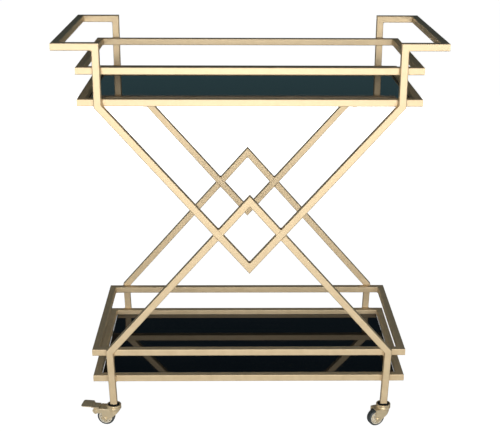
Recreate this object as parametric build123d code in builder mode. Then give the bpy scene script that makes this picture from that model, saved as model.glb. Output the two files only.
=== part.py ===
"""Two-tier bar cart: square-tube frame, black glass shelves, end handles, swivel casters.

X runs along the cart, Y from its front to its back, Z up. The origin is on the floor,
under the middle of the cart. All lengths are in millimetres.
"""

import os
from math import cos, radians, sin

from build123d import *

# Square tube that the whole frame is cut from
tube_size = 15.0
tube_wall = 1.2
tube_corner = 1.8
tube_bore = tube_size - 2 * tube_wall
half_tube = tube_size / 2

# Trays, each a gallery ring above a shelf ring
tray_depth = 364.0
upper_tray_length = 692.0
lower_tray_length = 677.0
upper_gallery_top = 789.0
upper_shelf_top = 725.0
lower_gallery_top = 175.5
lower_shelf_top = 114.0

# End frames: posts and legs stand against the outside of the long rails
post_x = 303.0
leg_bend_x = 299.4
leg_foot_x = 295.0
frame_y = tray_depth / 2 + half_tube
handle_top = 839.0
handle_reach = 390.5
post_bend_z = 713.0
dip_z = 368.0
leg_bend_z = 174.5
peak_z = 515.5
leg_end_z = 51.5

# Glass shelves and the tabs under them
glass_thickness = 4.0
glass_end_gap = 2.5
glass_side_gap = 1.5
glass_bevel = 0.6
tab_width = 8.0
tab_length = 17.0
tab_thickness = 2.0
tab_under_rail = 8.0
end_tab_y = 74.0
side_tab_x = 210.0

# Caster: heights from the floor, and reaches from the swivel axis along the trail
wheel_radius = 19.0
wheel_width = 15.0
tyre_inner_radius = 14.8
tyre_lip = 0.6
trail = 17.8
race_radius = 15.8
race_top = 48.8
race_bottom = 44.4
crown_radius = 15.8
crown_top = 44.0
crown_underside = 41.8
hood_top = 41.6
hood_underside = 39.8
fork_half_width = 13.2
well_half_width = 11.0
boss_radius = 6.2
lip_reach = 30.0
lip_bottom = 31.0
axle_radius = 2.5
axle_head_radius = 4.2
axle_head_height = 1.8
running_gap = 0.06
side_gap = 0.3
king_pin_radius = 4.0

# Brake pedal, on the casters that lock
brake_pivot = (39.4, 33.8)
ear_radius = 6.6
ear_inside = 8.9
trunnion_radius = 2.2
cam_reach = 5.5
cam_angle = 279.5
cam_radius = 3.6
plate_start = 31.5
plate_bottom = 40.9
plate_thickness = 1.8
bend_start = 45.0
pad_start = 48.5
pad_rise = 3.0
pad_half_width = 14.5
pedal_end = 71.0

# Casters: place, heading that the wheel trails towards, and whether it locks
casters = {
    "front_left": ((-leg_foot_x, -frame_y), 171.0, True),
    "front_right": ((leg_foot_x, -frame_y), 202.0, False),
    "rear_left": ((-leg_foot_x, frame_y), 189.0, True),
    "rear_right": ((leg_foot_x, frame_y), 158.0, False),
}

os.makedirs("parts", exist_ok=True)


def save(part, label):
    """Name a finished piece and write its STEP file."""
    part.label = label
    export_step(part, f"parts/{label}.step")


def mitre(corner, along, neighbour):
    """Plane that halves the corner between two tubes and keeps the one that runs along."""
    return Plane(origin=corner, z_dir=along.normalized() - neighbour.normalized())


def square_tube(label, start, finish, cuts, slot=None):
    """Cut one length of square tube between two centre-line points.

    Every plane in cuts trims an end and keeps the side that its normal points to. A slot
    is a plane along another tube that passes straight through this one.
    """
    run = finish - start
    along = run.normalized()
    across = Vector(1, 0, 0) if abs(along.Y) > 0.5 else Vector(0, 1, 0)
    with BuildPart() as piece:
        with BuildSketch(Plane(origin=start - along * tube_size, x_dir=across, z_dir=along)):
            RectangleRounded(tube_size, tube_size, tube_corner)
            Rectangle(tube_bore, tube_bore, mode=Mode.SUBTRACT)
        extrude(amount=run.length + 2 * tube_size)
        for cut in cuts:
            split(bisect_by=cut, keep=Keep.TOP)
        if slot is not None:
            with BuildSketch(slot.offset(-tube_size)):
                Rectangle(6 * tube_size, tube_size)
            extrude(amount=2 * tube_size, mode=Mode.SUBTRACT)
    save(piece.part, label)


def tray_ring(prefix, length, top):
    """Four rails mitred into a flat ring, its outside measured over the tubes."""
    x = length / 2 - half_tube
    y = tray_depth / 2 - half_tube
    z = top - half_tube
    along_x = Vector(1, 0, 0)
    along_y = Vector(0, 1, 0)
    for side, sign in (("front", -1), ("rear", 1)):
        left = Vector(-x, sign * y, z)
        right = Vector(x, sign * y, z)
        inward = along_y * -sign
        cuts = [mitre(left, along_x, inward), mitre(right, along_x * -1, inward)]
        square_tube(f"{prefix}_{side}_rail", left, right, cuts)
    for side, sign in (("left", -1), ("right", 1)):
        front = Vector(sign * x, -y, z)
        rear = Vector(sign * x, y, z)
        inward = along_x * -sign
        cuts = [mitre(front, along_y, inward), mitre(rear, along_y * -1, inward)]
        square_tube(f"{prefix}_{side}_rail", front, rear, cuts)


def side_frame(corner, x_sign, y_sign):
    """Handle arm, post, falling brace, rising brace and leg at one corner of the cart."""
    y = y_sign * frame_y
    outward = Vector(x_sign, 0, 0)
    up = Vector(0, 0, 1)
    post_top = Vector(x_sign * post_x, y, handle_top - half_tube)
    arm_end = Vector(x_sign * (handle_reach - half_tube), y, handle_top - half_tube)
    post_bend = Vector(x_sign * post_x, y, post_bend_z)
    dip = Vector(0, y, dip_z)
    leg_bend = Vector(x_sign * leg_bend_x, y, leg_bend_z)
    leg_end = Vector(x_sign * leg_foot_x, y, leg_end_z)
    peak = Vector(0, y, peak_z)
    middle = Plane(origin=(0, y, 0), z_dir=(x_sign, 0, 0))
    fall = (dip - post_bend).normalized()
    rise = (peak - leg_bend).normalized()
    stand = (leg_end - leg_bend).normalized()

    # The two braces of a corner's side cross where their centre lines meet
    reach = (peak_z - dip_z) / (-fall.Z / abs(fall.X) + rise.Z / abs(rise.X))
    crossing = Vector(x_sign * reach, y, dip_z - fall.Z / abs(fall.X) * reach)
    lap = Plane(origin=crossing, x_dir=fall, z_dir=(0, 1, 0))

    bar_way = Vector(0, -y_sign, 0)
    arm_cuts = [mitre(post_top, outward, up * -1), mitre(arm_end, outward * -1, bar_way)]
    square_tube(f"handle_arm_{corner}", post_top, arm_end, arm_cuts)
    post_cuts = [mitre(post_top, up * -1, outward), mitre(post_bend, up, fall)]
    square_tube(f"post_{corner}", post_bend, post_top, post_cuts)
    square_tube(f"falling_brace_{corner}", post_bend, dip, [mitre(post_bend, fall, up), middle])
    square_tube(f"rising_brace_{corner}", leg_bend, peak, [mitre(leg_bend, rise, stand), middle], lap)
    leg_cuts = [mitre(leg_bend, stand, rise), Plane(origin=leg_end, z_dir=(0, 0, 1))]
    square_tube(f"leg_{corner}", leg_end, leg_bend, leg_cuts)


def handle_bar(side, x_sign):
    """Grip bar across one end, mitred onto the two handle arms."""
    x = x_sign * (handle_reach - half_tube)
    z = handle_top - half_tube
    front = Vector(x, -frame_y, z)
    rear = Vector(x, frame_y, z)
    inward = Vector(-x_sign, 0, 0)
    way = Vector(0, 1, 0)
    cuts = [mitre(front, way, inward), mitre(rear, way * -1, inward)]
    square_tube(f"handle_bar_{side}", front, rear, cuts)


def glass_shelf(label, length, ring_top):
    """Flat glass with bevelled edges, lying between the rails with its face below their top."""
    width = length - 2 * tube_size - 2 * glass_end_gap
    depth = tray_depth - 2 * tube_size - 2 * glass_side_gap
    with BuildPart() as glass:
        with BuildSketch(Plane.XY.offset(ring_top - tube_size)):
            Rectangle(width, depth)
        extrude(amount=glass_thickness)
        chamfer(glass.edges().filter_by(Axis.Z, reverse=True), length=glass_bevel)
    save(glass.part, label)


def glass_tabs():
    """Small flat tabs welded under the shelf rings' rails, two at each end and side."""
    end_reach = tube_size - tab_under_rail + tab_length / 2
    with BuildPart() as tabs:
        for length, ring_top in (
            (upper_tray_length, upper_shelf_top),
            (lower_tray_length, lower_shelf_top),
        ):
            x = length / 2 - end_reach
            y = tray_depth / 2 - end_reach
            with BuildSketch(Plane.XY.offset(ring_top - tube_size - tab_thickness)):
                with GridLocations(2 * x, 2 * end_tab_y, 2, 2):
                    Rectangle(tab_length, tab_width)
                with GridLocations(2 * side_tab_x, 2 * y, 2, 2):
                    Rectangle(tab_width, tab_length)
            extrude(amount=tab_thickness)
    save(tabs.part, "glass_tabs")


def swivel_plane(place, heading):
    """Upright plane through a caster's swivel axis: x along the trail, y up."""
    trail_way = Vector(cos(radians(heading)), sin(radians(heading)), 0)
    sideways = trail_way.cross(Vector(0, 0, 1))
    return Plane(origin=(place[0], place[1], 0), x_dir=trail_way, z_dir=sideways)


def leg_axis(place):
    """Direction of the leg above a caster, which leans outwards as it rises."""
    lean = (leg_bend_x - leg_foot_x) * (1 if place[0] > 0 else -1)
    return Vector(lean, 0, leg_bend_z - leg_end_z).normalized()


def caster_stems():
    """Stem of each caster: square plug in the leg, race cup, king pin and its rivet head."""
    plug_height = 32.0
    plug_taper = 2.0
    race_edge = 1.0
    rim_round = 1.4
    dish_mouth = 13.4
    dish_radius = 11.0
    dish_floor = 45.6
    rivet_radius = 6.0
    rivet_edge = 1.0
    rivet_bottom = 38.9
    rivet_top = crown_underside - side_gap
    with BuildPart() as stems:
        # Plugs first, cut level where the legs end
        for place, _, _ in casters.values():
            foot = Vector(place[0], place[1], leg_end_z)
            axis = leg_axis(place)
            with BuildSketch(Plane(origin=foot - axis * tube_size, x_dir=(0, 1, 0), z_dir=axis)):
                Rectangle(tube_bore, tube_bore)
            extrude(amount=tube_size + plug_height)
        split(bisect_by=Plane.XY.offset(leg_end_z), keep=Keep.TOP)
        chamfer(stems.faces().sort_by(Axis.Z)[-len(casters) :].edges(), length=plug_taper)
        for place, _, _ in casters.values():
            seat = Plane(origin=(place[0], place[1], 0), x_dir=(1, 0, 0), z_dir=(0, -1, 0))
            with BuildSketch(seat):
                with BuildLine():
                    Polyline(
                        (0, rivet_bottom),
                        (rivet_radius - rivet_edge, rivet_bottom),
                        (rivet_radius, rivet_bottom + rivet_edge),
                        (rivet_radius, rivet_top),
                        (king_pin_radius, rivet_top),
                        (king_pin_radius, race_bottom),
                        (race_radius - race_edge, race_bottom),
                        (race_radius, race_bottom + race_edge),
                        (race_radius, race_top - rim_round),
                    )
                    RadiusArc(
                        (race_radius, race_top - rim_round),
                        (race_radius - rim_round, race_top),
                        -rim_round,
                    )
                    Polyline(
                        (race_radius - rim_round, race_top),
                        (dish_mouth, race_top),
                        (dish_radius, dish_floor),
                        (king_pin_radius, dish_floor),
                        (king_pin_radius, leg_end_z),
                        (0, leg_end_z),
                        (0, rivet_bottom),
                    )
                make_face()
            revolve(axis=Axis(seat.origin, (0, 0, 1)))
    save(stems.part, "caster_stems")


def caster_fork(label, upright, locks):
    """Pressed fork: round crown on a hood, half-round back, cheeks that narrow to the axle."""
    cheek_front = trail + boss_radius
    reach = lip_reach if locks else cheek_front
    hood_round = 1.8
    crown_round = 1.8
    skirt_top = 39.8
    skirt_bottom = 36.5
    recess_radius = 9.5
    back = (-crown_radius, 38.5)
    back_sweep = 115.0
    heel_turn = radians(230)
    heel = (trail + boss_radius * cos(heel_turn), wheel_radius + boss_radius * sin(heel_turn))
    lip_round = 2.0
    lip_corner = (reach, lip_bottom + lip_round)
    level = Plane(origin=upright.origin, x_dir=upright.x_dir)
    along = Axis(upright.origin, upright.x_dir)
    with BuildPart() as fork:
        # Hood and cheeks: straight sides, half-round back, upper edges rounded
        with BuildSketch(level):
            Circle(fork_half_width)
            with Locations((reach / 2, 0)):
                Rectangle(reach, 2 * fork_half_width)
        extrude(amount=hood_top)
        fillet(fork.faces().sort_by(Axis.Z)[-1].edges().sort_by(along)[:-1], radius=hood_round)
        # Side outline: lip, front edge, round end at the axle, swept rear edge
        with BuildSketch(upright):
            with BuildLine():
                Polyline(back, (-crown_radius, crown_top), (reach, crown_top), lip_corner)
                if locks:
                    RadiusArc(lip_corner, (reach - lip_round, lip_bottom), lip_round)
                    Line((reach - lip_round, lip_bottom), (cheek_front, lip_bottom))
                    Line((cheek_front, lip_bottom), (cheek_front, wheel_radius))
                else:
                    Line(lip_corner, (cheek_front, wheel_radius))
                RadiusArc((cheek_front, wheel_radius), heel, boss_radius)
                RadiusArc(heel, back, back_sweep)
            make_face()
        extrude(amount=crown_radius, both=True, mode=Mode.INTERSECT)
        with BuildSketch(upright):
            with BuildLine():
                Line((0, crown_top), (crown_radius - crown_round, crown_top))
                RadiusArc(
                    (crown_radius - crown_round, crown_top),
                    (crown_radius, crown_top - crown_round),
                    crown_round,
                )
                Polyline(
                    (crown_radius, crown_top - crown_round),
                    (crown_radius, skirt_top),
                    (fork_half_width, skirt_bottom),
                    (0, skirt_bottom),
                    (0, crown_top),
                )
            make_face()
        revolve(axis=Axis(upright.origin, (0, 0, 1)))
        # Wheel well, recess under the crown, and bores
        with BuildSketch(level):
            Circle(well_half_width)
            with Locations((lip_reach, 0)):
                Rectangle(2 * lip_reach, 2 * well_half_width)
        extrude(amount=hood_underside, mode=Mode.SUBTRACT)
        with BuildSketch(level):
            Circle(recess_radius)
        extrude(amount=crown_underside, mode=Mode.SUBTRACT)
        with BuildSketch(level):
            Circle(king_pin_radius + running_gap)
        extrude(amount=crown_top + 1, mode=Mode.SUBTRACT)
        with BuildSketch(upright):
            with Locations((trail, wheel_radius)):
                Circle(axle_radius)
        extrude(amount=crown_radius, both=True, mode=Mode.SUBTRACT)
        # Ears that carry the pedal, inside the cheeks
        if locks:
            web_centre = ((cheek_front + lip_reach) / 2, (lip_bottom + hood_underside) / 2)
            for side in (-1, 1):
                with BuildSketch(upright.offset(side * ear_inside)):
                    with Locations(web_centre):
                        Rectangle(lip_reach - cheek_front, hood_underside - lip_bottom)
                    with Locations(brake_pivot):
                        Circle(ear_radius)
                    make_hull()
                    with Locations(brake_pivot):
                        Circle(trunnion_radius + running_gap, mode=Mode.SUBTRACT)
                extrude(amount=side * (well_half_width - ear_inside))
    save(fork.part, label)


def pin_plane(upright, centre):
    """Plane at a pin's centre, its X along the pin, for profiles revolved about the pin."""
    origin = upright.from_local_coords(Vector(centre[0], centre[1], 0))
    return Plane(origin=origin, x_dir=upright.z_dir, z_dir=upright.x_dir)


def headed_pin(seat, half_length, shank_radius, head_radius, head_height):
    """Round pin with a domed head at each end, its length measured between the heads."""
    with BuildPart() as pin:
        with BuildSketch(seat):
            with BuildLine():
                Polyline(
                    (0, shank_radius),
                    (half_length, shank_radius),
                    (half_length, head_radius),
                )
                RadiusArc(
                    (half_length, head_radius),
                    (half_length + head_height, head_radius - head_height),
                    head_height,
                )
                Polyline(
                    (half_length + head_height, head_radius - head_height),
                    (half_length + head_height, 0),
                    (0, 0),
                )
                mirror(about=Plane.YZ)
            make_face()
        revolve(axis=Axis(seat.origin, seat.x_dir))
    return pin.part


def caster_hub(label, upright):
    """Wheel centre: bored boss, rim and thin web, with six spokes on both sides of the web."""
    rim_inside = 12.6
    boss = 6.0
    boss_edge = 1.0
    boss_neck = boss - boss_edge
    boss_half = well_half_width - side_gap
    web_half = 1.5
    web_fillet = 0.8
    spokes = 6
    spoke_width = 2.6
    spoke_half = 5.9
    spoke_overlap = 1.0
    bore = axle_radius + running_gap
    half = wheel_width / 2 - tyre_lip
    seat = pin_plane(upright, (trail, wheel_radius))
    face = Plane(origin=seat.origin, x_dir=upright.x_dir, z_dir=upright.z_dir)
    with BuildPart() as hub:
        with BuildSketch(seat):
            with BuildLine():
                Polyline(
                    (0, bore),
                    (boss_half, bore),
                    (boss_half, boss_neck),
                    (boss_half - boss_edge, boss),
                    (web_half, boss + web_fillet),
                    (web_half, rim_inside - web_fillet),
                    (half, rim_inside),
                    (half, tyre_inner_radius),
                    (0, tyre_inner_radius),
                    (0, bore),
                )
            make_face()
            mirror(about=Plane.YZ)
        revolve(axis=Axis(seat.origin, seat.x_dir))
        with BuildSketch(face):
            with PolarLocations((boss_neck + rim_inside) / 2, spokes):
                Rectangle(rim_inside - boss_neck + spoke_overlap, spoke_width)
        extrude(amount=spoke_half, both=True)
    save(hub.part, label)


def caster_tyre(label, upright):
    """Grey tyre with a round-shouldered tread cut by three grooves."""
    half = wheel_width / 2
    shoulder = 3.6
    groove_pitch = 2.7
    groove_depth = 0.7
    groove_width = 1.0
    seat = pin_plane(upright, (trail, wheel_radius))
    with BuildPart() as tyre:
        with BuildSketch(seat):
            with BuildLine():
                Polyline(
                    (0, tyre_inner_radius),
                    (half - tyre_lip, tyre_inner_radius),
                    (half, wheel_radius - shoulder),
                )
                RadiusArc(
                    (half, wheel_radius - shoulder),
                    (half - shoulder, wheel_radius),
                    -shoulder,
                )
                Polyline(
                    (half - shoulder, wheel_radius),
                    (0, wheel_radius),
                    (0, tyre_inner_radius),
                )
            make_face()
            mirror(about=Plane.YZ)
            with Locations(
                (-groove_pitch, wheel_radius),
                (0, wheel_radius),
                (groove_pitch, wheel_radius),
            ):
                Rectangle(groove_width, 2 * groove_depth, mode=Mode.SUBTRACT)
        revolve(axis=Axis(seat.origin, seat.x_dir))
    save(tyre.part, label)


def brake_pedal(label, upright):
    """Toe pedal: bent plate with a wide pad, and a cam on a pin between the fork's ears."""
    cam_x = brake_pivot[0] + cam_reach * cos(radians(cam_angle))
    cam_z = brake_pivot[1] + cam_reach * sin(radians(cam_angle))
    core_radius = 4.6
    side_play = 0.4
    bend_lead = 0.6
    core_half = ear_inside - side_play
    pad_corner = 5.0
    pad_bottom = plate_bottom + pad_rise
    pin_head_radius = 3.6
    pin_head_height = 1.3
    level = Plane(origin=upright.origin, x_dir=upright.x_dir)
    with BuildPart() as pedal:
        # Plate seen from the side, then cut to its outline from above
        with BuildSketch(upright):
            Polygon(
                (plate_start, plate_bottom),
                (bend_start, plate_bottom),
                (pad_start, pad_bottom),
                (pedal_end, pad_bottom),
                (pedal_end, pad_bottom + plate_thickness),
                (pad_start - bend_lead, pad_bottom + plate_thickness),
                (bend_start - bend_lead, plate_bottom + plate_thickness),
                (plate_start, plate_bottom + plate_thickness),
                align=None,
            )
        extrude(amount=pad_half_width, both=True)
        with BuildSketch(level):
            with Locations(((plate_start + pad_start) / 2, 0)):
                Rectangle(pad_start - plate_start + 2, 2 * well_half_width)
            with Locations(((bend_start + pedal_end) / 2, 0)):
                RectangleRounded(pedal_end - bend_start, 2 * pad_half_width, pad_corner)
        extrude(amount=pad_bottom + 2 * plate_thickness, mode=Mode.INTERSECT)
        with BuildSketch(upright):
            with Locations(brake_pivot):
                Circle(core_radius)
            with Locations((cam_x, cam_z)):
                Circle(cam_radius)
            make_hull()
        extrude(amount=core_half, both=True)
        with BuildSketch(upright):
            with Locations(brake_pivot):
                Circle(core_radius)
            with Locations((brake_pivot[0], plate_bottom + plate_thickness / 2)):
                Rectangle(2 * core_radius, plate_thickness)
            make_hull()
        extrude(amount=core_half, both=True)
        add(
            headed_pin(
                pin_plane(upright, brake_pivot),
                well_half_width + side_gap,
                trunnion_radius,
                pin_head_radius,
                pin_head_height,
            )
        )
    save(pedal.part, label)


tray_ring("upper_gallery", upper_tray_length, upper_gallery_top)
tray_ring("upper_shelf", upper_tray_length, upper_shelf_top)
tray_ring("lower_gallery", lower_tray_length, lower_gallery_top)
tray_ring("lower_shelf", lower_tray_length, lower_shelf_top)
for y_name, y_sign in (("front", -1), ("rear", 1)):
    for x_name, x_sign in (("left", -1), ("right", 1)):
        side_frame(f"{y_name}_{x_name}", x_sign, y_sign)
handle_bar("left", -1)
handle_bar("right", 1)
glass_shelf("upper_glass", upper_tray_length, upper_shelf_top)
glass_shelf("lower_glass", lower_tray_length, lower_shelf_top)
glass_tabs()
caster_stems()
for corner, (place, heading, locks) in casters.items():
    upright = swivel_plane(place, heading)
    caster_fork(f"fork_{corner}", upright, locks)
    axle_seat = pin_plane(upright, (trail, wheel_radius))
    axle = headed_pin(axle_seat, fork_half_width, axle_radius, axle_head_radius, axle_head_height)
    save(axle, f"axle_{corner}")
    caster_hub(f"hub_{corner}", upright)
    caster_tyre(f"tyre_{corner}", upright)
    if locks:
        brake_pedal(f"brake_pedal_{corner}", upright)
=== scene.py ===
"""Finishes, small details and studio for the gold bar cart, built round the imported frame."""

import logging
import math
from dataclasses import dataclass
from enum import Enum

import bmesh
import bpy
from mathutils import Matrix, Vector


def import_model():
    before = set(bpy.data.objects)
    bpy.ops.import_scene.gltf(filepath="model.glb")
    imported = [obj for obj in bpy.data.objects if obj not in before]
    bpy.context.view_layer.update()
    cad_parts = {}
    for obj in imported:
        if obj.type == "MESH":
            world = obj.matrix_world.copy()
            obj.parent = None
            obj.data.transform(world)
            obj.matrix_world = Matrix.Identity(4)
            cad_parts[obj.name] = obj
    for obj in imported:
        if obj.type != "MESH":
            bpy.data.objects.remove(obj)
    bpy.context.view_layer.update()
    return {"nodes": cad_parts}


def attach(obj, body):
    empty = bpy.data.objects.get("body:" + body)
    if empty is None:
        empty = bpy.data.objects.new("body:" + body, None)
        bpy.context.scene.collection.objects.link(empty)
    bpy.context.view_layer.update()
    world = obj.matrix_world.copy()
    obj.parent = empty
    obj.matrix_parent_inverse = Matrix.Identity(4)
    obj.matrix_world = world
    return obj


LOG = logging.getLogger("bar_cart")

Rgb = tuple[float, float, float]
Point = tuple[float, float, float]
Seam = tuple[Point, Point]
Span = tuple[float, float]
Nodes = dict[str, bpy.types.Object]

MM = 0.001
CORNERS = ("front_left", "front_right", "rear_left", "rear_right")
RAIL_RINGS = ("upper_gallery", "upper_shelf", "lower_gallery", "lower_shelf")
SIDES = ("front", "rear", "left", "right")
WHITE: Rgb = (1.0, 1.0, 1.0)
BLACK: Rgb = (0.0, 0.0, 0.0)

# Driving sizes of the cart, in millimetres
TUBE = 15.0
TRAY_DEPTH = 364.0
RAIL_FACE = TRAY_DEPTH / 2
FRAME_Y = RAIL_FACE + TUBE / 2
POST_X = 303.0
LEG_BEND = (299.4, 174.5)
LEG_FOOT = (295.0, 51.5)
GLASS_THICKNESS = 4.0
GLASS_END_GAP = 2.5
GLASS_SIDE_GAP = 1.5


class Ray(Enum):
    """Kinds of light path that the floor and the walls tell apart."""

    CAMERA = "Is Camera Ray"
    GLOSSY = "Is Glossy Ray"
    TRANSMISSION = "Is Transmission Ray"


@dataclass(frozen=True)
class Level:
    """A number from a node, which takes part in sums as a plain number does."""

    graph: "Graph"
    socket: bpy.types.NodeSocket

    def __add__(self, other: "Level | float") -> "Level":
        """Add."""
        return self.graph.maths("ADD", self, other)

    def __radd__(self, other: float) -> "Level":
        """Add to a plain number."""
        return self.graph.maths("ADD", other, self)

    def __sub__(self, other: "Level | float") -> "Level":
        """Subtract."""
        return self.graph.maths("SUBTRACT", self, other)

    def __rsub__(self, other: float) -> "Level":
        """Subtract from a plain number."""
        return self.graph.maths("SUBTRACT", other, self)

    def __mul__(self, other: "Level | float") -> "Level":
        """Multiply."""
        return self.graph.maths("MULTIPLY", self, other)

    def __rmul__(self, other: float) -> "Level":
        """Multiply a plain number."""
        return self.graph.maths("MULTIPLY", other, self)

    def upto(self, other: "Level | float") -> "Level":
        """Give the smaller of the two."""
        return self.graph.maths("MINIMUM", self, other)

    def over(self, other: "Level | float") -> "Level":
        """Give the larger of the two."""
        return self.graph.maths("MAXIMUM", self, other)


class Graph:
    """The nodes of one material or of the world."""

    def __init__(self, tree: bpy.types.NodeTree) -> None:
        """Start from an empty tree."""
        self.tree = tree
        tree.nodes.clear()

    def node(
        self,
        kind: str,
        settings: dict[str, object] | None = None,
        inputs: dict[str | int, object] | None = None,
    ) -> bpy.types.Node:
        """Add a node, set it up and join it.

        Args:
            kind: The node's type.
            settings: The node's own settings, which are set first. The key "stops" gives
                a colour ramp's places and colours.
            inputs: Values, levels or sockets by the name, identifier or number of the
                socket that they go to.

        Returns:
            The new node.
        """
        made = self.tree.nodes.new(kind)
        for name, value in (settings or {}).items():
            if name == "stops":
                self._set_stops(made, value)
            else:
                setattr(made, name, value)
        for key, value in (inputs or {}).items():
            self._join(self._socket(made, key), value)
        return made

    @staticmethod
    def _set_stops(ramp: bpy.types.Node, stops: list[tuple[float, Rgb]]) -> None:
        """Give a colour ramp its stops.

        Args:
            ramp: The colour ramp's node.
            stops: Places from 0 to 1, each with its colour.
        """
        elements = ramp.color_ramp.elements
        while len(elements) < len(stops):
            elements.new(0.5)
        for element, (place, colour) in zip(elements, stops):
            element.position = place
            element.color = (*colour, 1.0)

    @staticmethod
    def _socket(node: bpy.types.Node, key: str | int) -> bpy.types.NodeSocket:
        """Find an input of a node.

        Args:
            node: The node.
            key: The input's number, identifier or name.

        Returns:
            The input.
        """
        if isinstance(key, int):
            return node.inputs[key]
        found = [s for s in node.inputs if s.identifier == key and s.enabled]
        return found[0] if found else node.inputs[key]

    def _join(self, socket: bpy.types.NodeSocket, value: object) -> None:
        """Link a level or a socket to an input, or set a plain value on it.

        Args:
            socket: The input.
            value: What it gets.
        """
        if isinstance(value, Level):
            self.tree.links.new(value.socket, socket)
        elif isinstance(value, bpy.types.NodeSocket):
            self.tree.links.new(value, socket)
        elif isinstance(value, tuple) and socket.type == "RGBA":
            socket.default_value = (*value, 1.0)
        else:
            socket.default_value = value

    def maths(self, operation: str, *terms: "Level | float") -> Level:
        """Add a Math node on one or two terms and give its result."""
        made = self.node("ShaderNodeMath", {"operation": operation}, dict(enumerate(terms)))
        return Level(self, made.outputs[0])

    def ramp(self, level: Level, start: float, stop: float, low: float, high: float) -> Level:
        """Turn a level into another along a straight ramp that ends at both sides.

        Args:
            level: The level that is read.
            start: Where the ramp starts.
            stop: Where it stops.
            low: Result up to the start.
            high: Result from the stop on.

        Returns:
            The new level.
        """
        keys = ("Value", "From Min", "From Max", "To Min", "To Max")
        inputs = dict(zip(keys, (level, start, stop, low, high)))
        made = self.node("ShaderNodeMapRange", {"clamp": True}, inputs)
        return Level(self, made.outputs["Result"])

    def place(self) -> bpy.types.NodeSocket:
        """Give the place on the piece, in metres."""
        return self.node("ShaderNodeTexCoord").outputs["Object"]

    def noise(self, place: bpy.types.NodeSocket, size: float, detail: float) -> Level:
        """Add soft noise.

        Args:
            place: Where it is read.
            size: Size of its patches, in metres.
            detail: Octaves of finer noise on top.

        Returns:
            Values round one half.
        """
        inputs = {"Vector": place, "Scale": 1 / size, "Detail": detail}
        return Level(self, self.node("ShaderNodeTexNoise", None, inputs).outputs["Fac"])

    def blend(self, share: Level, low: object, high: object) -> bpy.types.NodeSocket:
        """Mix two colours.

        Args:
            share: Share of the second colour, from 0 to 1.
            low: The first colour.
            high: The second colour.

        Returns:
            The mixed colour.
        """
        settings = {"data_type": "RGBA", "clamp_factor": True}
        inputs = {"Factor_Float": share, "A_Color": low, "B_Color": high}
        made = self.node("ShaderNodeMix", settings, inputs)
        return next(s for s in made.outputs if s.type == "RGBA")

    def bump(self, height: Level, strength: float, depth: float) -> bpy.types.NodeSocket:
        """Turn a height into a bumped normal.

        Args:
            height: Height from 0 to 1.
            strength: Share of the bump that shows.
            depth: Depth of a full step, in metres.

        Returns:
            The normal.
        """
        inputs = {"Height": height, "Strength": strength, "Distance": depth}
        return self.node("ShaderNodeBump", None, inputs).outputs["Normal"]

    def ray(self, kind: Ray) -> Level:
        """Give 1 on one kind of light path and 0 on any other."""
        return Level(self, self.node("ShaderNodeLightPath").outputs[kind.value])


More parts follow.
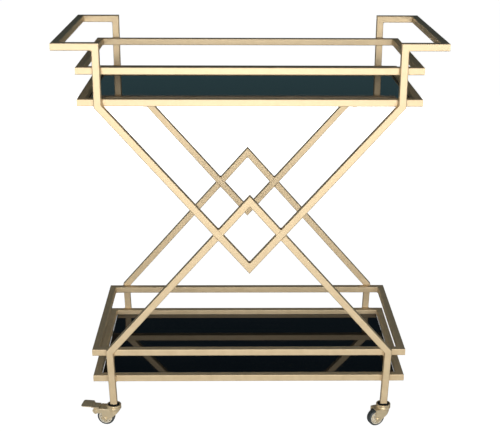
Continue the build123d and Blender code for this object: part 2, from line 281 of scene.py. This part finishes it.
class Recipe(Graph):
    """A Geometry Nodes tree with named inputs, which is run once and gives a plain mesh."""

    def __init__(self, name: str) -> None:
        """Start a tree that takes a mesh and gives one.

        Args:
            name: The tree's name.
        """
        super().__init__(bpy.data.node_groups.new(name, "GeometryNodeTree"))
        for way in ("INPUT", "OUTPUT"):
            self.tree.interface.new_socket("Geometry", in_out=way, socket_type="NodeSocketGeometry")
        self.entry = self.node("NodeGroupInput")
        self.values: dict[str, float | int] = {}
        self.finish: bpy.types.Material | None = None

    def take(self, name: str, value: float | int) -> Level:
        """Add a named input.

        Args:
            name: The input's name.
            value: What it is set to when the tree is run.

        Returns:
            The input inside the tree.
        """
        kind = "NodeSocketInt" if isinstance(value, int) else "NodeSocketFloat"
        item = self.tree.interface.new_socket(name, in_out="INPUT", socket_type=kind)
        self.values[item.identifier] = value
        return Level(self, next(s for s in self.entry.outputs if s.identifier == item.identifier))

    def vector(self, **parts: Level) -> bpy.types.NodeSocket:
        """Put levels together as the X, Y and Z of a vector, where a missing one is 0."""
        return self.node("ShaderNodeCombineXYZ", None, parts).outputs["Vector"]

    def ball(self, segments: int, rings: int, radius: Level | float) -> bpy.types.NodeSocket:
        """Make a smooth ball.

        Args:
            segments: Faces round its middle.
            rings: Faces from pole to pole.
            radius: Its radius in metres.

        Returns:
            The ball.
        """
        inputs = {"Segments": segments, "Rings": rings, "Radius": radius}
        made = self.node("GeometryNodeMeshUVSphere", None, inputs)
        return self.node("GeometryNodeSetShadeSmooth", None, {0: made.outputs["Mesh"]}).outputs[0]

    def copies(self, shape: bpy.types.NodeSocket, **inputs: bpy.types.NodeSocket) -> bpy.types.NodeSocket:
        """Put a copy of a shape on every one of some Points, with a Scale and a Rotation."""
        made = self.node("GeometryNodeInstanceOnPoints", None, {"Instance": shape, **inputs})
        return made.outputs["Instances"]

    def moved(self, shape: bpy.types.NodeSocket, **inputs: bpy.types.NodeSocket) -> bpy.types.NodeSocket:
        """Move a shape by a Translation and a Rotation."""
        made = self.node("GeometryNodeTransform", None, {"Geometry": shape, **inputs})
        return made.outputs["Geometry"]

    def end(self, shape: bpy.types.NodeSocket, material: bpy.types.Material) -> None:
        """Make every copy real, give it its finish and end the tree.

        Args:
            shape: The finished shape.
            material: Its finish.
        """
        real = self.node("GeometryNodeRealizeInstances", None, {"Geometry": shape})
        inputs = {"Geometry": real.outputs["Geometry"], "Material": material}
        painted = self.node("GeometryNodeSetMaterial", None, inputs)
        self.node("NodeGroupOutput", None, {"Geometry": painted.outputs["Geometry"]})
        self.finish = material

    def run(self, name: str, start: bpy.types.Mesh) -> bpy.types.Object:
        """Run the tree on a mesh.

        Args:
            name: The piece's name.
            start: The mesh that the tree takes.

        Returns:
            The finished piece, with a plain mesh and no modifier.
        """
        piece = bpy.data.objects.new(name, start)
        bpy.context.scene.collection.objects.link(piece)
        modifier = piece.modifiers.new("recipe", "NODES")
        modifier.node_group = self.tree
        for identifier, value in self.values.items():
            modifier[identifier] = value
        graph = bpy.context.evaluated_depsgraph_get()
        made = bpy.data.meshes.new_from_object(piece.evaluated_get(graph), depsgraph=graph)
        piece.modifiers.clear()
        piece.data = made
        made.name = name
        made.materials.clear()
        made.materials.append(self.finish)
        LOG.info("made %s, %d faces", name, len(made.polygons))
        return piece


def surface(name: str) -> tuple[bpy.types.Material, Graph]:
    """Make an empty material with nodes.

    Args:
        name: The material's name.

    Returns:
        The material and its graph.
    """
    material = bpy.data.materials.new(name)
    material.use_nodes = True
    return material, Graph(material.node_tree)


def finish_with(graph: Graph, inputs: dict[str | int, object]) -> None:
    """End a graph in a Principled shader with these inputs."""
    shader = graph.node("ShaderNodeBsdfPrincipled", None, inputs)
    graph.node("ShaderNodeOutputMaterial", None, {"Surface": shader.outputs["BSDF"]})


@dataclass(frozen=True)
class Finish:
    """A finish that is mixed the first time a piece asks for it, and then shared."""

    name: str

    def material(self) -> bpy.types.Material:
        """Give the finish's material.

        Returns:
            The one material of this finish.
        """
        made = bpy.data.materials.get(self.name)
        if made is None:
            made, graph = surface(self.name)
            self.mix(graph)
        return made

    def mix(self, graph: Graph) -> None:
        """Build the finish's nodes in an empty graph."""
        raise NotImplementedError


@dataclass(frozen=True)
class GoldPaint(Finish):
    """Satin metallic gold paint over steel, faintly mottled as sprayed paint is."""

    light: Rgb = (0.87, 0.685, 0.425)
    dark: Rgb = (0.76, 0.575, 0.33)
    metallic: float = 0.5
    roughness: float = 0.5
    cloud_size: float = 0.018
    grain_size: float = 0.0014
    grain_depth: float = 0.00006
    cloud_contrast: float = 1.4
    grain_contrast: float = 0.5
    sheen_change: float = 0.1
    grain_strength: float = 0.2

    def mix(self, graph: Graph) -> None:
        """Mix the paint.

        Args:
            graph: The empty graph that it is built in.
        """
        place = graph.place()
        cloud = graph.noise(place, self.cloud_size, detail=3.0) - 0.5
        height = graph.noise(place, self.grain_size, detail=2.0)
        grain = height - 0.5
        tone = cloud * self.cloud_contrast + grain * self.grain_contrast + 0.5
        inputs = {
            "Base Color": graph.blend(tone, self.dark, self.light),
            "Metallic": self.metallic,
            "Roughness": cloud * self.sheen_change + grain * self.sheen_change + self.roughness,
            "Normal": graph.bump(height, self.grain_strength, self.grain_depth),
        }
        finish_with(graph, inputs)


@dataclass(frozen=True)
class BlackGlass(Finish):
    """Polished black glass with a faint film of dust and wiping marks."""

    colour: Rgb = (0.003, 0.0045, 0.0055)
    dust: Rgb = (0.012, 0.014, 0.015)
    roughness: float = 0.025
    smear_size: float = 0.09
    smear_sheen: float = 0.04
    speck_size: float = 0.0016
    film_start: float = 0.45
    film_gain: float = 2.0
    specular: float = 0.36

    def mix(self, graph: Graph) -> None:
        """Mix the glass.

        Args:
            graph: The empty graph that it is built in.
        """
        place = graph.place()
        smear = graph.noise(place, self.smear_size, detail=4.0)
        speck = graph.noise(place, self.speck_size, detail=1.0)
        film = ((smear - self.film_start) * self.film_gain).upto(1.0)
        inputs = {
            "Base Color": graph.blend(film * speck, self.colour, self.dust),
            "Metallic": 0.0,
            "Roughness": smear * self.smear_sheen + self.roughness,
            "Specular IOR Level": self.specular,
        }
        finish_with(graph, inputs)


@dataclass(frozen=True)
class MouldedPlastic(Finish):
    """Moulded plastic or rubber with a fine skin and uneven sheen."""

    light: Rgb
    dark: Rgb
    roughness: float
    patch_size: float
    skin_size: float
    skin_depth: float
    patch_contrast: float = 1.5
    skin_contrast: float = 0.6
    sheen_change: float = 0.2
    skin_strength: float = 0.4

    def mix(self, graph: Graph) -> None:
        """Mix the plastic.

        Args:
            graph: The empty graph that it is built in.
        """
        place = graph.place()
        patch = graph.noise(place, self.patch_size, detail=3.0) - 0.5
        height = graph.noise(place, self.skin_size, detail=2.0)
        tone = patch * self.patch_contrast + (height - 0.5) * self.skin_contrast + 0.5
        inputs = {
            "Base Color": graph.blend(tone, self.dark, self.light),
            "Roughness": patch * self.sheen_change + self.roughness,
            "Normal": graph.bump(height, self.skin_strength, self.skin_depth),
        }
        finish_with(graph, inputs)


TUBE_GOLD = GoldPaint("tube_gold")
CASTER_GOLD = GoldPaint(
    "caster_gold", (0.98, 0.8, 0.51), (0.91, 0.73, 0.44), 0.55, 0.32, 0.006, 0.0009, 0.00002
)
SHELF_GLASS = BlackGlass("shelf_glass")
WHEEL_CREAM = MouldedPlastic(
    "wheel_cream", (0.9, 0.82, 0.64), (0.76, 0.68, 0.52), 0.4, 0.006, 0.0009, 0.00004
)
TREAD_GREY = MouldedPlastic(
    "tread_grey", (0.1, 0.11, 0.105), (0.035, 0.042, 0.042), 0.45, 0.004, 0.0007, 0.00005
)
# Black of the rubber glass edging, also used on the rings that paint shade in the caster dishes.
EDGING_AND_SHADE_BLACK = MouldedPlastic(
    "edging_and_shade_black", (0.03, 0.032, 0.032), (0.014, 0.016, 0.016), 0.6, 0.02, 0.0009, 0.00004
)


def dress(part: bpy.types.Object, finish: Finish) -> None:
    """Give every slot of a piece one finish.

    Args:
        part: The piece.
        finish: Its finish.
    """
    material = finish.material()
    if not part.material_slots:
        part.data.materials.append(material)
    for slot in part.material_slots:
        slot.material = material
    LOG.info("dressed %s in %s", part.name, finish.name)


@dataclass(frozen=True)
class Tray:
    """One tray: its name, its length over the rails and the underside of its shelf ring."""

    name: str
    length: float
    underside: float

    @property
    def inside(self) -> float:
        """Half the clear length between the end rails."""
        return self.length / 2 - TUBE

    @property
    def glass_length(self) -> float:
        """Length of the glass sheet that lies in the tray."""
        return 2 * (self.inside - GLASS_END_GAP)

    @property
    def glass_middle(self) -> float:
        """Height of the middle of the glass."""
        return self.underside + GLASS_THICKNESS / 2


UPPER_TRAY = Tray("upper", 692.0, 710.0)
LOWER_TRAY = Tray("lower", 677.0, 99.0)


def upright_x(height: float) -> float:
    """Find the middle of the post, or of the leaning leg under it, at a height.

    Args:
        height: Height above the floor in millimetres.

    Returns:
        Distance from the middle of the cart in millimetres.
    """
    (bend_x, bend_z), (foot_x, foot_z) = LEG_BEND, LEG_FOOT
    if height > bend_z:
        return POST_X
    return foot_x + (bend_x - foot_x) * (height - foot_z) / (bend_z - foot_z)


@dataclass
class CartFrame:
    """Welded frame: tray rails, posts, braces, legs, handles and glass tabs."""

    gold: GoldPaint = TUBE_GOLD
    corner_kinds: tuple[str, ...] = ("handle_arm", "post", "falling_brace", "rising_brace", "leg")

    def names(self) -> list[str]:
        """List the frame's nodes.

        Returns:
            Their names.
        """
        rails = [f"{ring}_{side}_rail" for ring in RAIL_RINGS for side in SIDES]
        corners = [f"{kind}_{corner}" for kind in self.corner_kinds for corner in CORNERS]
        return rails + corners + ["handle_bar_left", "handle_bar_right", "glass_tabs"]

    def build(self, nodes: Nodes) -> None:
        """Paint the frame."""
        for name in self.names():
            dress(nodes[name], self.gold)


@dataclass
class Shelves:
    """The two loose glass shelves."""

    glass: BlackGlass = SHELF_GLASS

    def build(self, nodes: Nodes) -> None:
        """Polish the shelves."""
        for tray in (UPPER_TRAY, LOWER_TRAY):
            dress(nodes[f"{tray.name}_glass"], self.glass)


@dataclass
class Casters:
    """Swivel casters with their stems, forks, axles, wheels and brake pedals."""

    metal: GoldPaint = CASTER_GOLD
    centre: MouldedPlastic = WHEEL_CREAM
    tread: MouldedPlastic = TREAD_GREY

    def build(self, nodes: Nodes) -> None:
        """Dress the casters.

        Args:
            nodes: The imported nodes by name.
        """
        dress(nodes["caster_stems"], self.metal)
        for corner in CORNERS:
            dress(nodes[f"fork_{corner}"], self.metal)
            dress(nodes[f"axle_{corner}"], self.metal)
            dress(nodes[f"hub_{corner}"], self.centre)
            dress(nodes[f"tyre_{corner}"], self.tread)
        for caster in LOCKING_CASTERS:
            dress(nodes[f"brake_pedal_{caster.corner}"], self.metal)


@dataclass(frozen=True)
class RingSeams:
    """Low and high ends of the upright seams at one ring of rails, in millimetres.

    Two run up the inner and outer sides of the post or leg, and one up the ring's own corner.
    """

    tray: Tray
    inner_side: Span
    outer_side: Span
    ring_corner: Span


RING_SEAMS = (
    RingSeams(UPPER_TRAY, (774.8, 788.2), (774.8, 788.2), (774.8, 788.2)),
    RingSeams(UPPER_TRAY, (712.0, 724.2), (717.0, 724.2), (715.5, 724.2)),
    RingSeams(LOWER_TRAY, (161.2, 170.0), (161.2, 174.0), (161.2, 174.8)),
    RingSeams(LOWER_TRAY, (99.8, 113.2), (99.8, 113.2), (104.5, 113.2)),
)


@dataclass
class WeldBeads:
    """Small rippled weld beads in the corners where the tubes meet, painted over."""

    gold: GoldPaint = TUBE_GOLD
    rings: tuple[RingSeams, ...] = RING_SEAMS
    bead_radius: float = 1.7
    bead_segments: int = 8
    bead_rings: int = 6
    ripple_pitch: float = 1.1
    ripple_squash: float = 0.62
    unevenness: float = 0.14
    seed: int = 7
    off_rail: float = 0.3
    off_upright: float = 0.2
    end_gap: float = 1.4
    crossing: Span = (64.8, 441.7)
    crossing_offset: Span = (9.98, 11.37)
    peaks: Span = (379.4, 504.1)
    handle_corner: float = 375.5
    handle_seam: Span = (825.4, 837.4)
    handle_under: float = 824.0

    def upright_seams(self) -> list[Seam]:
        """List the upright seams of one corner of the cart, at positive x and y.

        Returns:
            The seams' ends in millimetres.
        """
        seams: list[Seam] = []
        face = RAIL_FACE + self.off_rail
        away = TUBE / 2 + self.off_upright
        for ring in self.rings:
            for side, (low, high) in ((-1, ring.inner_side), (1, ring.outer_side)):
                start = (upright_x(low) + side * away, face, low)
                seams.append((start, (upright_x(high) + side * away, face, high)))
        inside = RAIL_FACE - TUBE
        for ring in self.rings:
            low, high = ring.ring_corner
            seams.append(((ring.tray.inside, inside, low), (ring.tray.inside, inside, high)))
        low, high = self.handle_seam
        seams.append(((self.handle_corner, RAIL_FACE, low), (self.handle_corner, RAIL_FACE, high)))
        return seams

    def level_seams(self) -> list[Seam]:
        """List the seams that run from front to back, at positive x and y.

        Returns:
            The seams' ends in millimetres.
        """
        (mid_x, mid_z), (along, above) = self.crossing, self.crossing_offset
        spots = [
            (mid_x - along, mid_z),
            (mid_x + along, mid_z),
            (mid_x, mid_z - above),
            (mid_x, mid_z + above),
            (POST_X + TUBE / 2, self.handle_under),
        ]
        spots.extend((0.0, height) for height in self.peaks)
        near, far = RAIL_FACE + self.end_gap, RAIL_FACE + TUBE - self.end_gap
        return [((x, near, z), (x, far, z)) for x, z in spots]

    def paths(self) -> bpy.types.Mesh:
        """Draw every seam of the cart as an edge, once where two corners share it.

        Returns:
            A mesh of loose edges, in metres.
        """
        drawn: dict[Seam, None] = {}
        for seam in self.upright_seams() + self.level_seams():
            for along in (-1, 1):
                for across in (-1, 1):
                    start, stop = (
                        (x * along * MM + 0.0, y * across * MM, z * MM) for x, y, z in seam
                    )
                    drawn[(start, stop)] = None
        ends = [end for seam in drawn for end in seam]
        mesh = bpy.data.meshes.new("weld_paths")
        mesh.from_pydata(ends, [(2 * i, 2 * i + 1) for i in range(len(drawn))], [])
        return mesh

    def recipe(self) -> Recipe:
        """Write the recipe that lays overlapping ripples along a mesh's edges.

        Returns:
            The finished recipe.
        """
        recipe = Recipe("weld_ripples")
        radius = recipe.take("Bead Radius", self.bead_radius * MM)
        pitch = recipe.take("Ripple Pitch", self.ripple_pitch * MM)
        squash = recipe.take("Ripple Squash", self.ripple_squash)
        uneven = recipe.take("Unevenness", self.unevenness)
        seed = recipe.take("Seed", self.seed)
        entry = recipe.entry.outputs["Geometry"]
        curve = recipe.node("GeometryNodeMeshToCurve", None, {"Mesh": entry}).outputs["Curve"]
        inputs = {"Curve": curve, "Length": pitch}
        line = recipe.node("GeometryNodeResampleCurve", {"mode": "LENGTH"}, inputs).outputs["Curve"]
        tangent = recipe.node("GeometryNodeInputTangent").outputs["Tangent"]
        turn = recipe.node("FunctionNodeAlignRotationToVector", {"axis": "Z"}, {"Vector": tangent})
        inputs = {"Min_001": 1.0 - uneven, "Max_001": 1.0 + uneven, "Seed": seed}
        chance = recipe.node("FunctionNodeRandomValue", {"data_type": "FLOAT"}, inputs)
        size = Level(recipe, next(s for s in chance.outputs if s.identifier == "Value_001"))
        laid = recipe.copies(
            recipe.ball(self.bead_segments, self.bead_rings, radius),
            Points=line,
            Rotation=turn.outputs["Rotation"],
            Scale=recipe.vector(X=size, Y=size, Z=squash * size),
        )
        recipe.end(laid, self.gold.material())
        return recipe

    def build(self) -> None:
        """Lay the beads along every seam."""
        beads = self.recipe().run("weld_beads", self.paths())
        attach(beads, "cart_frame")


@dataclass
class GlassEdging:
    """Thin black rubber edging round each glass shelf, which keeps it off the rails."""

    rubber: MouldedPlastic = EDGING_AND_SHADE_BLACK
    thickness: float = 1.3
    height: float = 3.8
    corner: float = 1.2
    corner_steps: int = 4

    def build(self) -> None:
        """Fit the edging of both shelves."""
        for tray in (UPPER_TRAY, LOWER_TRAY):
            self.fit(tray)

    def fit(self, tray: Tray) -> None:
        """Sweep a narrow strip round one shelf.

        Args:
            tray: The tray that the shelf lies in.
        """
        name = f"{tray.name}_glass_edging"
        glass_depth = TRAY_DEPTH - 2 * (TUBE + GLASS_SIDE_GAP)
        recipe = Recipe(name)
        wide = recipe.take("Length", (tray.glass_length + self.thickness) * MM)
        deep = recipe.take("Depth", (glass_depth + self.thickness) * MM)
        thick = recipe.take("Thickness", self.thickness * MM)
        tall = recipe.take("Height", self.height * MM)
        corner = recipe.take("Corner", self.corner * MM)
        level = recipe.take("Level", tray.glass_middle * MM)
        box = recipe.node(
            "GeometryNodeCurvePrimitiveQuadrilateral", None, {"Width": wide, "Height": deep}
        )
        inputs = {"Curve": box.outputs["Curve"], "Radius": corner, "Count": self.corner_steps}
        path = recipe.node("GeometryNodeFilletCurve", {"mode": "POLY"}, inputs).outputs["Curve"]
        strip = recipe.node(
            "GeometryNodeCurvePrimitiveQuadrilateral", None, {"Width": thick, "Height": tall}
        )
        inputs = {"Curve": path, "Profile Curve": strip.outputs["Curve"]}
        swept = recipe.node("GeometryNodeCurveToMesh", None, inputs).outputs["Mesh"]
        recipe.end(recipe.moved(swept, Translation=recipe.vector(Z=level)), self.rubber.material())
        piece = recipe.run(name, bpy.data.meshes.new(name))
        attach(piece, "cart_frame")


@dataclass
class DishShadeRings:
    """Ribbed black ring in the dish of each caster's race cup, round the king pin, as painted shade that
    darkens the dish.
    """

    # Black finish of the rings, which paints the shade in each caster's dish.
    rubber: MouldedPlastic = EDGING_AND_SHADE_BLACK
    segments: int = 64
    outline: tuple[Span, ...] = (
        (4.3, 46.0),
        (11.9, 46.0),
        (12.9, 47.7),
        (12.5, 48.4),
        (11.7, 48.3),
        (11.0, 47.9),
        (10.2, 48.3),
        (9.6, 48.7),
        (8.8, 48.5),
        (8.0, 48.1),
        (7.2, 48.6),
        (6.6, 49.0),
        (5.2, 49.2),
        (4.3, 48.9),
    )

    def build(self) -> None:
        """Turn the dark ring's outline round each king pin, as one piece for the four."""
        shape = bmesh.new()
        for along in (-1, 1):
            for across in (-1, 1):
                self.turn(shape, along * LEG_FOOT[0], across * FRAME_Y)
        bmesh.ops.recalc_face_normals(shape, faces=shape.faces)
        mesh = bpy.data.meshes.new("dish_shade_rings")
        shape.to_mesh(mesh)
        shape.free()
        mesh.shade_smooth()
        seals = bpy.data.objects.new("dish_shade_rings", mesh)
        bpy.context.scene.collection.objects.link(seals)
        LOG.info("made dish_shade_rings, %d faces", len(mesh.polygons))
        dress(seals, self.rubber)
        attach(seals, "cart_frame")

    def turn(self, shape: bmesh.types.BMesh, pin_x: float, pin_y: float) -> None:
        """Turn one closed ring.

        Args:
            shape: The mesh that it is added to.
            pin_x: The king pin's place along the cart in millimetres.
            pin_y: The king pin's place from front to back in millimetres.
        """
        rings = []
        for step in range(self.segments):
            angle = math.tau * step / self.segments
            across, deep = math.cos(angle), math.sin(angle)
            spots = [(pin_x + r * across, pin_y + r * deep, height) for r, height in self.outline]
            rings.append([shape.verts.new([value * MM for value in spot]) for spot in spots])
        for step, ring in enumerate(rings):
            after = rings[(step + 1) % self.segments]
            for spot in range(len(ring)):
                beside = (spot + 1) % len(ring)
                shape.faces.new((ring[spot], ring[beside], after[beside], after[spot]))


@dataclass(frozen=True)
class LockingCaster:
    """A caster with a pedal: its corner, its side of the cart (-1 for the front) and the
    way that it points, in degrees from +X.
    """

    corner: str
    side: int
    heading: float


LOCKING_CASTERS = (LockingCaster("front_left", -1, 171.0), LockingCaster("rear_left", 1, 189.0))


@dataclass
class PedalRibs:
    """Pressed ribs across the toe pad of each locking caster's pedal."""

    metal: GoldPaint = CASTER_GOLD
    rib_count: int = 5
    rib_gap: float = 3.6
    rib_length: float = 19.0
    rib_width: float = 1.5
    rib_height: float = 0.55
    rib_segments: int = 12
    rib_rings: int = 8
    first_rib: float = 51.5
    pad_top: float = 45.6

    def build(self) -> None:
        """Press the ribs of both pedals."""
        for caster in LOCKING_CASTERS:
            name = f"pedal_ribs_{caster.corner}"
            ribs = self.recipe(name, caster).run(name, bpy.data.meshes.new(name))
            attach(ribs, f"brake_{caster.corner}")

    def recipe(self, name: str, caster: LockingCaster) -> Recipe:
        """Write the recipe for one pedal's ribs: a row of long low balls, sunk to the middle.

        Args:
            name: The recipe's name.
            caster: The caster that the pedal belongs to.

        Returns:
            The finished recipe.
        """
        recipe = Recipe(name)
        count = recipe.take("Rib Count", self.rib_count)
        gap = recipe.take("Rib Gap", self.rib_gap * MM)
        first = recipe.take("First Rib", self.first_rib * MM)
        top = recipe.take("Pad Top", self.pad_top * MM)
        width = recipe.take("Rib Width", self.rib_width * MM)
        length = recipe.take("Rib Length", self.rib_length * MM)
        height = recipe.take("Rib Height", 2 * self.rib_height * MM)
        pivot_x = recipe.take("Pivot X", -LEG_FOOT[0] * MM)
        pivot_y = recipe.take("Pivot Y", caster.side * FRAME_Y * MM)
        heading = recipe.take("Heading", math.radians(caster.heading))
        start, step = recipe.vector(X=first, Z=top), recipe.vector(X=gap)
        inputs = {"Count": count, "Start Location": start, "Offset": step}
        row = recipe.node("GeometryNodeMeshLine", None, inputs).outputs["Mesh"]
        ball = recipe.ball(self.rib_segments, self.rib_rings, 0.5)
        laid = recipe.copies(ball, Points=row, Scale=recipe.vector(X=width, Y=length, Z=height))
        spot, turn = recipe.vector(X=pivot_x, Y=pivot_y), recipe.vector(Z=heading)
        recipe.end(recipe.moved(laid, Translation=spot, Rotation=turn), self.metal.material())
        return recipe


@dataclass(frozen=True)
class SoftLamp:
    """A rectangular softbox. One that isn't mirrored fills the far side without glints."""

    name: str
    place: Point
    aim: Point
    size: Span
    watts: float
    mirrored: bool = True
    tint: Rgb = WHITE

    def hang(self) -> None:
        """Put the lamp in the studio."""
        light = bpy.data.lights.new(self.name, "AREA")
        light.shape = "RECTANGLE"
        light.size, light.size_y = self.size
        light.energy = self.watts
        light.color = self.tint
        lamp = bpy.data.objects.new(self.name, light)
        lamp.visible_glossy = self.mirrored
        lamp.location = self.place
        way = Vector(self.aim) - Vector(self.place)
        lamp.rotation_euler = way.to_track_quat("-Z", "Y").to_euler()
        bpy.context.scene.collection.objects.link(lamp)
        LOG.info("hung %s", self.name)


@dataclass
class Studio:
    """Floor and walls that are white to the camera and dim in the gold and the glass, the
    softboxes and the camera. Lengths are in metres and angles in degrees.
    """

    floor_reach: float = 90.0
    floor_height: float = -0.0004
    floor_near: float = 0.94
    floor_far: float = 1.0
    near_radius: float = 0.9
    far_radius: float = 3.0
    front_share: float = 0.27
    rear_share: float = 0.03
    front_edge: float = -0.5
    rear_edge: float = 0.2
    floor_colour: Rgb = (0.4, 0.4, 0.4)
    floor_roughness: float = 0.9
    key_tint: Rgb = (0.8, 0.83, 1.0)
    camera_place: Point = (-0.0324, -2.2516, 1.1824)
    camera_pitch: float = 18.75
    camera_yaw: float = 0.914
    camera_roll: float = 0.272
    focal_pixels: float = 1057.6
    image_width: float = 500.0
    sensor: float = 36.0

    def build(self) -> None:
        """Set up the whole studio."""
        self.lay_floor()
        self.paint_walls()
        for lamp in self.lamps():
            lamp.hang()
        self.set_camera()
        bpy.context.scene.view_settings.view_transform = "Standard"

    def lamps(self) -> list[SoftLamp]:
        """List the softboxes.

        Returns:
            The lamps, each with its place, aim, size and power.
        """
        key = ("key_softbox", (0.0, -3.0, 1.5), (0.0, 0.0, 0.6), (2.0, 0.6), 17.0)
        return [
            SoftLamp("front_softbox", (0.0, -3.2, 0.5), (0.0, 0.0, 0.5), (3.0, 0.8), 60.0),
            SoftLamp(*key, tint=self.key_tint),
            SoftLamp("left_softbox", (-2.6, -0.8, 1.0), (0.0, 0.0, 0.45), (1.0, 1.2), 4.0),
            SoftLamp("right_softbox", (2.6, -0.8, 1.0), (0.0, 0.0, 0.45), (1.0, 1.2), 4.0),
            SoftLamp("rear_softbox", (0.0, 3.2, 0.55), (0.0, 0.0, 0.45), (1.6, 0.7), 60.0, False),
        ]

    def lay_floor(self) -> None:
        """Lay the floor: white to the camera, dimmer in reflections, with the cart's shadow."""
        reach = self.floor_reach
        ring = [(-reach, -reach), (reach, -reach), (reach, reach), (-reach, reach)]
        mesh = bpy.data.meshes.new("studio_floor")
        mesh.from_pydata([(x, y, self.floor_height) for x, y in ring], [], [(0, 1, 2, 3)])
        floor = bpy.data.objects.new("studio_floor", mesh)
        bpy.context.scene.collection.objects.link(floor)
        material, graph = surface("white_floor")
        mesh.materials.append(material)
        length = graph.node("ShaderNodeVectorMath", {"operation": "LENGTH"}, {0: graph.place()})
        radius = Level(graph, length.outputs["Value"])
        glow = graph.ramp(radius, self.near_radius, self.far_radius, self.floor_near, self.floor_far)
        depth = graph.node("ShaderNodeSeparateXYZ", None, {0: graph.place()}).outputs["Y"]
        edges = (self.front_edge, self.rear_edge, self.front_share, self.rear_share)
        mirrored = graph.ray(Ray.GLOSSY) * graph.ramp(Level(graph, depth), *edges)
        seen = mirrored.over(graph.ray(Ray.CAMERA)).over(graph.ray(Ray.TRANSMISSION))
        inputs = {
            "Base Color": self.floor_colour,
            "Roughness": self.floor_roughness,
            "Specular IOR Level": 0.0,
            "Emission Color": graph.blend(seen * glow, BLACK, WHITE),
            "Emission Strength": 1.0,
        }
        finish_with(graph, inputs)
        LOG.info("laid the floor")

    def paint_walls(self) -> None:
        """Paint the room above the floor: white to the camera, dark blue-green to the cart."""
        world = bpy.data.worlds.new("studio_room")
        bpy.context.scene.world = world
        world.use_nodes = True
        graph = Graph(world.node_tree)
        way = graph.node("ShaderNodeTexCoord").outputs["Generated"]
        height = graph.node("ShaderNodeSeparateXYZ", None, {0: way}).outputs["Z"]
        ramp = graph.node("ShaderNodeValToRGB", {"stops": self.wall_tones()}, {"Fac": height})
        tone = graph.blend(graph.ray(Ray.CAMERA), ramp.outputs["Color"], WHITE)
        backdrop = graph.node("ShaderNodeBackground", None, {"Color": tone, "Strength": 1.0})
        graph.node("ShaderNodeOutputWorld", None, {"Surface": backdrop.outputs[0]})
        LOG.info("painted the walls")

    @staticmethod
    def wall_tones() -> list[tuple[float, Rgb]]:
        """List the walls' tones, brightest a little above the horizon.

        Returns:
            The sine of each height above the horizon, with its colour.
        """
        return [
            (0.0, (0.012, 0.016, 0.018)),
            (0.07, (0.02, 0.03, 0.034)),
            (0.12, (0.046, 0.084, 0.096)),
            (0.18, (0.062, 0.122, 0.138)),
            (0.24, (0.062, 0.122, 0.138)),
            (0.34, (0.038, 0.062, 0.078)),
            (0.45, (0.024, 0.038, 0.052)),
            (0.7, (0.02, 0.022, 0.024)),
        ]

    def set_camera(self) -> None:
        """Put the camera where the photograph was taken from."""
        pitch, yaw, roll = (
            math.radians(angle) for angle in (self.camera_pitch, self.camera_yaw, self.camera_roll)
        )
        forward = Vector(
            (math.sin(yaw) * math.cos(pitch), math.cos(yaw) * math.cos(pitch), -math.sin(pitch))
        )
        right = Vector((math.cos(yaw), -math.sin(yaw), 0.0))
        above = right.cross(forward)
        right, above = (
            right * math.cos(roll) + above * math.sin(roll),
            above * math.cos(roll) - right * math.sin(roll),
        )
        data = bpy.data.cameras.new("camera")
        data.sensor_width = self.sensor
        data.lens = self.sensor * self.focal_pixels / self.image_width
        data.clip_end = 4 * self.floor_reach
        camera = bpy.data.objects.new("camera", data)
        turn = Matrix((right, above, -forward)).transposed().to_4x4()
        camera.matrix_world = Matrix.Translation(self.camera_place) @ turn
        bpy.context.scene.collection.objects.link(camera)
        bpy.context.scene.camera = camera
        LOG.info("set the camera")


def main() -> None:
    """Build the cart's looks and the studio in order."""
    logging.basicConfig(level=logging.INFO, format="%(name)s: %(message)s")
    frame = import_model()
    nodes = frame["nodes"]
    CartFrame().build(nodes)
    Shelves().build(nodes)
    Casters().build(nodes)
    WeldBeads().build()
    GlassEdging().build()
    # The dark rings in the caster dishes are painted shade.
    DishShadeRings().build()
    PedalRibs().build()
    Studio().build()


if __name__ == "__main__":
    main()
